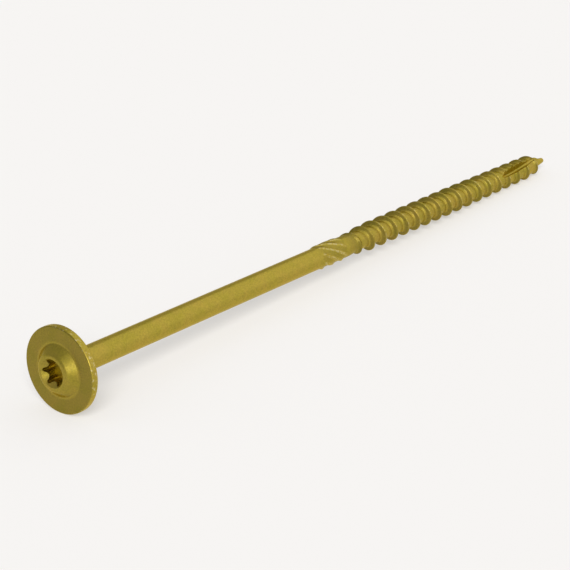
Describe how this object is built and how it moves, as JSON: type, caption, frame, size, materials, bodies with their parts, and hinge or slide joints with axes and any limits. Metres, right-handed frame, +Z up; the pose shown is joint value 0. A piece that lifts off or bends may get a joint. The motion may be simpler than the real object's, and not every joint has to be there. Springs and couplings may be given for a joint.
{
  "type": "washer head screw",
  "caption": "Long timber screw lying on its side: wide flanged head with a raised boss and star-shaped recess, plain shank, ribbed friction section, coarse thread and fluted point.",
  "frame": {"origin": "on the floor that the screw lies on, at the middle of its bounding box", "axes": "+X from the head to the point, along the floor; +Z up; the screw's own axis dips by about 2 degrees towards the point, because the head is wider than the thread"},
  "size_m": [0.2242, 0.022, 0.022],
  "materials": {
    "zinc": "steel with a satin yellow-gold zinc coat"
  },
  "bodies": {
    "root": {"screw": "zinc"}
  },
  "joints": []
}
